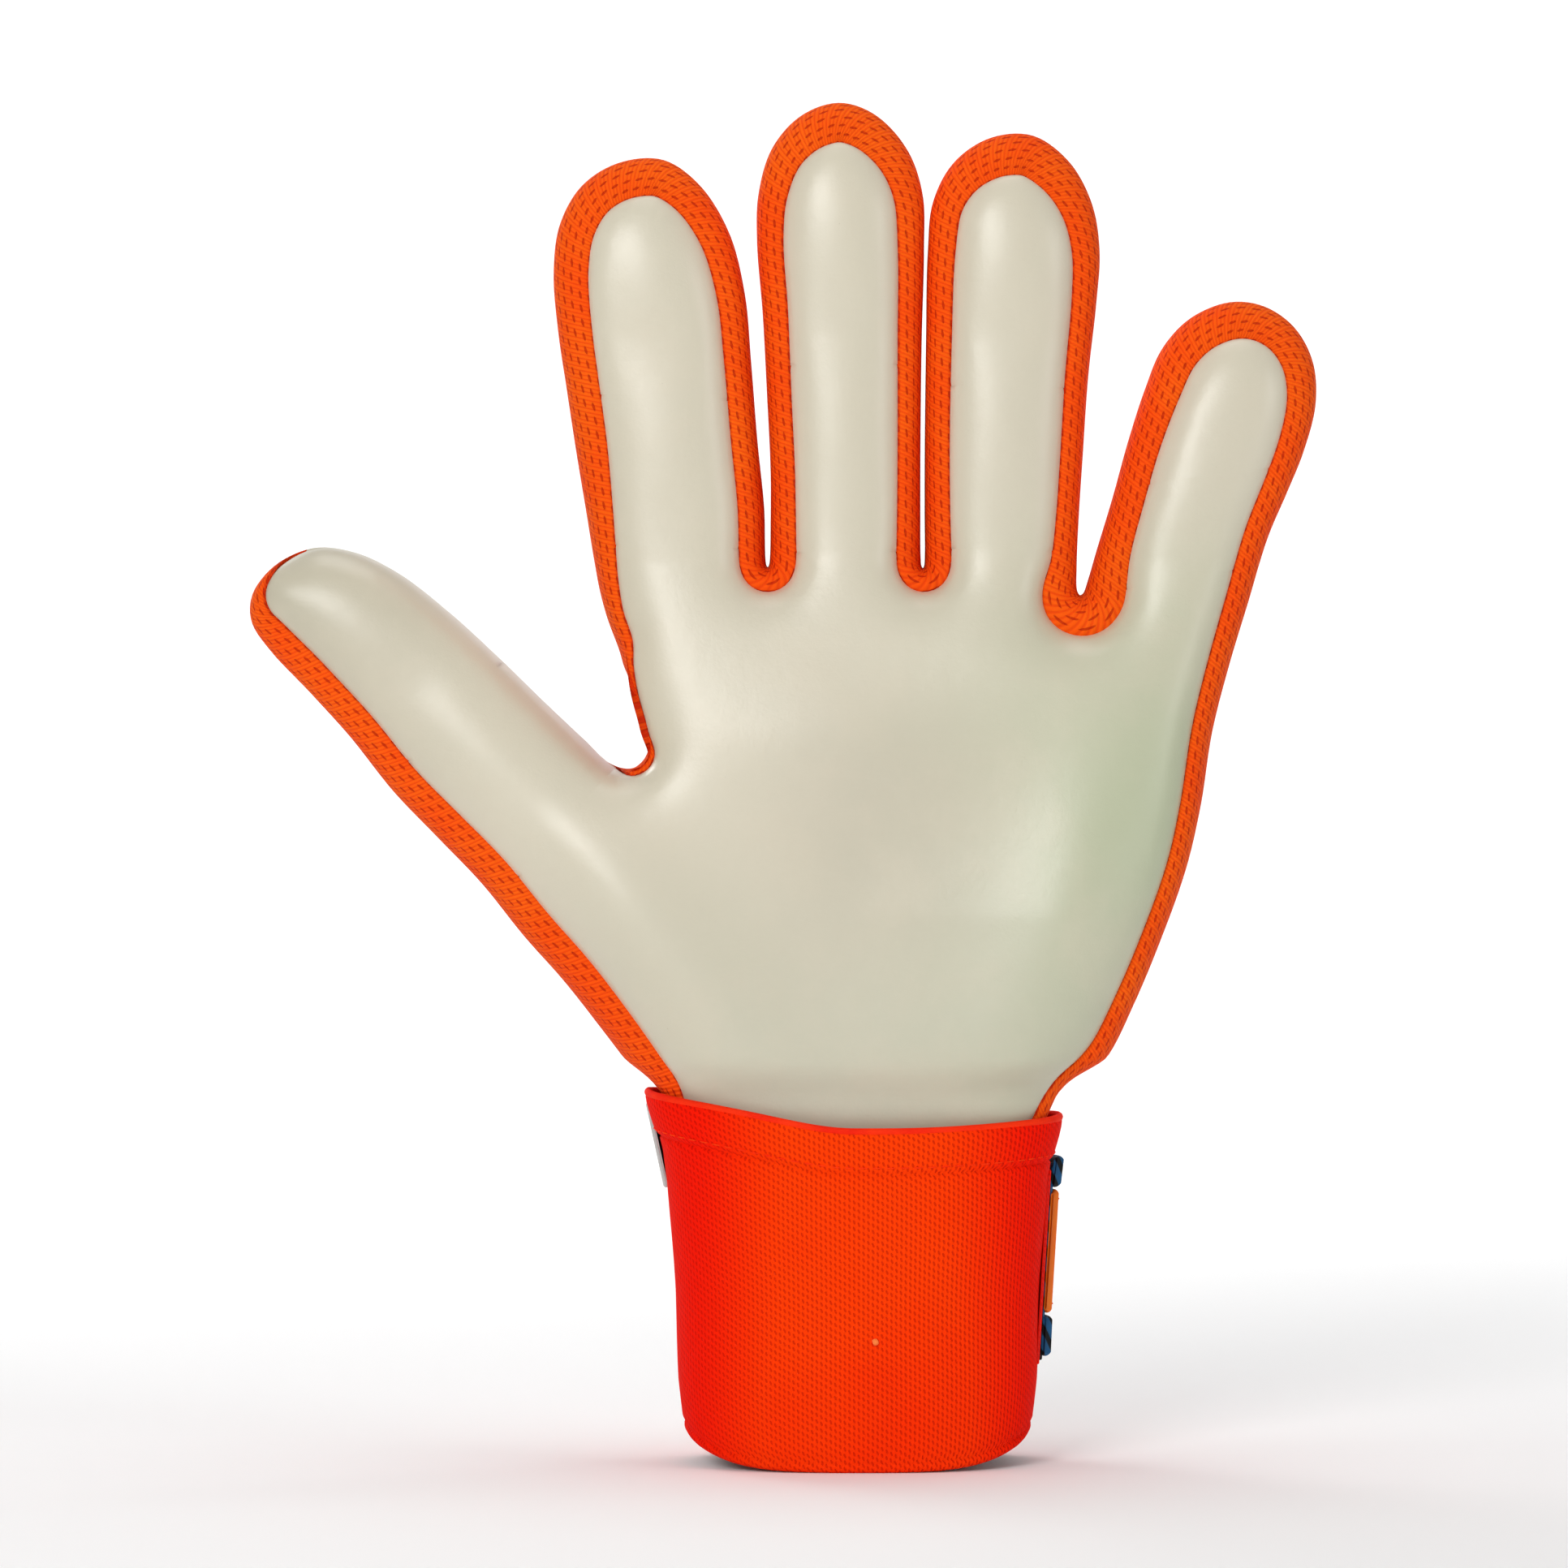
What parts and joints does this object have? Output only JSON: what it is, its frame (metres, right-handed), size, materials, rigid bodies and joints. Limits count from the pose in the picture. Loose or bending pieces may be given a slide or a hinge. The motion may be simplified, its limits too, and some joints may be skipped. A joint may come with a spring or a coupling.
{
  "type": "goalkeeper glove",
  "caption": "Padded left-hand goalkeeper glove with latex palm, knitted edge strips, elastic cuff and wrap-round wrist strap; fingers, thumb and wrist flex.",
  "frame": {"origin": "centre of the hand opening at the cuff's rim", "axes": "+Z from the cuff to the fingertips, -Y the way the palm faces, +X towards the little finger"},
  "size_m": [0.2016, 0.0469, 0.2599],
  "materials": {
    "latex": "satin foam latex",
    "edge_strip": "knitted tape",
    "back_foam": "matte embossed foam",
    "cuff_knit": "fine elastic knit",
    "lining": "brushed jersey",
    "strap_blue": "matte synthetic",
    "strap_orange": "matte synthetic",
    "hook_loop": "hook and loop"
  },
  "bodies": {
    "cuff": {"cuff_outer_band": "cuff_knit", "cuff_inner_band": "lining", "cuff_hem_band": "cuff_knit", "wrist_gusset": "back_foam", "strap_root": "cuff_knit", "loop_patch": "hook_loop"},
    "palm": {"palm_latex": "latex", "thumb_root_latex": "latex", "backhand_panel": "back_foam", "thumb_root_back": "back_foam", "palm_lining": "lining", "ulnar_edge_strip": "edge_strip", "thumb_edge_strip": "edge_strip", "thumb_web": "edge_strip", "index_edge_strip": "edge_strip", "finger_forks": "edge_strip", "punch_pad": "strap_orange", "stripe_panel": "strap_blue"},
    "strap": {"strap_band": "strap_blue", "hook_patch": "hook_loop", "strap_upper_pad": "strap_blue", "strap_badge": "strap_orange", "strap_lower_pad": "strap_blue"},
    "tab": {"strap_pull_tab": "strap_orange"},
    "index_base": {"index_base_latex": "latex", "index_base_strip": "edge_strip", "index_base_back": "back_foam"},
    "index_tip": {"index_tip_latex": "latex", "index_tip_strip": "edge_strip", "index_tip_back": "back_foam"},
    "middle_base": {"middle_base_latex": "latex", "middle_base_strip": "edge_strip", "middle_base_back": "back_foam"},
    "middle_tip": {"middle_tip_latex": "latex", "middle_tip_strip": "edge_strip", "middle_tip_back": "back_foam"},
    "ring_base": {"ring_base_latex": "latex", "ring_base_strip": "edge_strip", "ring_base_back": "back_foam"},
    "ring_tip": {"ring_tip_latex": "latex", "ring_tip_strip": "edge_strip", "ring_tip_back": "back_foam"},
    "little_base": {"little_base_latex": "latex", "little_base_strip": "edge_strip", "little_base_back": "back_foam"},
    "little_tip": {"little_tip_latex": "latex", "little_tip_strip": "edge_strip", "little_tip_back": "back_foam"},
    "thumb_base": {"thumb_base_latex": "latex", "thumb_base_strip": "edge_strip", "thumb_base_back": "back_foam"},
    "thumb_tip": {"thumb_tip_latex": "latex", "thumb_tip_strip": "edge_strip", "thumb_tip_back": "back_foam"}
  },
  "joints": [
    {"name": "wrist_flex", "type": "hinge", "parent": "cuff", "child": "palm", "pos_m": [0, 0, 0.063], "axis": [1, 0, 0], "range_deg": [-30, 30], "stiffness_Nm_per_rad": 0.5, "deforming": ["cuff_hem_band", "wrist_gusset"]},
    {"name": "index_base_flex", "type": "hinge", "parent": "palm", "child": "index_base", "pos_m": [-0.03483, -0.01019, 0.18], "axis": [1, 0, 0], "range_deg": [0, 70], "stiffness_Nm_per_rad": 0.06},
    {"name": "index_mid_flex", "type": "hinge", "parent": "index_base", "child": "index_tip", "pos_m": [-0.03854, -0.01093, 0.212], "axis": [1, 0, 0], "range_deg": [0, 75], "stiffness_Nm_per_rad": 0.06},
    {"name": "middle_base_flex", "type": "hinge", "parent": "palm", "child": "middle_base", "pos_m": [-0.00263, -0.01019, 0.18], "axis": [1, 0, 0], "range_deg": [0, 70], "stiffness_Nm_per_rad": 0.06},
    {"name": "middle_mid_flex", "type": "hinge", "parent": "middle_base", "child": "middle_tip", "pos_m": [-0.00314, -0.01125, 0.218], "axis": [1, 0, 0], "range_deg": [0, 75], "stiffness_Nm_per_rad": 0.06},
    {"name": "ring_base_flex", "type": "hinge", "parent": "palm", "child": "ring_base", "pos_m": [0.02708, -0.01019, 0.18], "axis": [1, 0, 0], "range_deg": [0, 70], "stiffness_Nm_per_rad": 0.06},
    {"name": "ring_mid_flex", "type": "hinge", "parent": "ring_base", "child": "ring_tip", "pos_m": [0.0285, -0.01098, 0.214], "axis": [1, 0, 0], "range_deg": [0, 75], "stiffness_Nm_per_rad": 0.06},
    {"name": "little_base_flex", "type": "hinge", "parent": "palm", "child": "little_base", "pos_m": [0.06063, -0.01007, 0.175], "axis": [1, 0, 0], "range_deg": [0, 70], "stiffness_Nm_per_rad": 0.06},
    {"name": "little_mid_flex", "type": "hinge", "parent": "little_base", "child": "little_tip", "pos_m": [0.06655, -0.01058, 0.197], "axis": [1, 0, 0], "range_deg": [0, 75], "stiffness_Nm_per_rad": 0.06},
    {"name": "thumb_base_flex", "type": "hinge", "parent": "palm", "child": "thumb_base", "pos_m": [-0.06275, -0.01471, 0.12422], "axis": [0.6782, 0, 0.7349], "range_deg": [0, 50], "stiffness_Nm_per_rad": 0.06},
    {"name": "thumb_mid_flex", "type": "hinge", "parent": "thumb_base", "child": "thumb_tip", "pos_m": [-0.08701, -0.01402, 0.1466], "axis": [0.6782, 0, 0.7349], "range_deg": [0, 60], "stiffness_Nm_per_rad": 0.06},
    {"name": "strap_peel", "type": "hinge", "parent": "cuff", "child": "strap", "pos_m": [0.03815, 0.003, 0.0375], "axis": [0, 0, -1], "range_deg": [0, 110]},
    {"name": "tab_lift", "type": "hinge", "parent": "strap", "child": "tab", "pos_m": [-0.02921, 0.02083, 0.0375], "axis": [0, 0, -1], "range_deg": [0, 60]}
  ]
}
